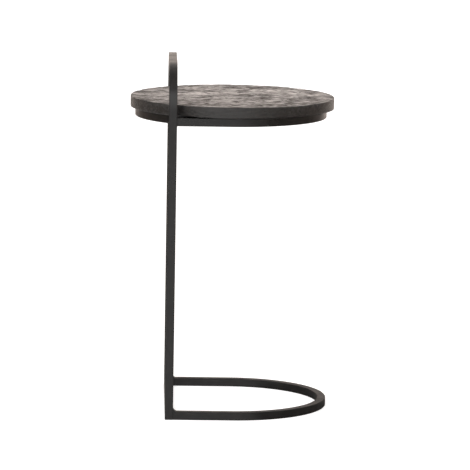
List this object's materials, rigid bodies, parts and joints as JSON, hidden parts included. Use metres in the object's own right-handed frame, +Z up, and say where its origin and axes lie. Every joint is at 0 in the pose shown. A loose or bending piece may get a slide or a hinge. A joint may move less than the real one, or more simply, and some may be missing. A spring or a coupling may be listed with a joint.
{
  "type": "laptop table",
  "caption": "Round wooden side table on a C-shaped square-bar steel frame that slides under a seat, with a bent handle above the top.",
  "frame": {"origin": "on the floor, under the centre of the round top", "axes": "+Z up, +X from the uprights towards the closed end of the base loop, +Y from the front upright to the rear upright"},
  "size_m": [0.3999, 0.4, 0.6865],
  "materials": {
    "wood": "dark-stained solid wood with a worn, mottled grey-brown face",
    "steel": "matt black powder coat",
    "screw": "blackened zinc"
  },
  "bodies": {
    "root": {"tabletop": "wood", "front_upright": "steel", "rear_upright": "steel", "handle": "steel", "base_loop": "steel", "base_crossbar": "steel", "support_loop": "steel", "support_arc": "steel", "loop_weld_front": "steel", "loop_weld_rear": "steel", "crossbar_weld_front": "steel", "crossbar_weld_rear": "steel", "lug_front_right": "steel", "lug_rear_right": "steel", "lug_rear_left": "steel", "lug_front_left": "steel", "wood_screws": "screw"}
  },
  "joints": []
}
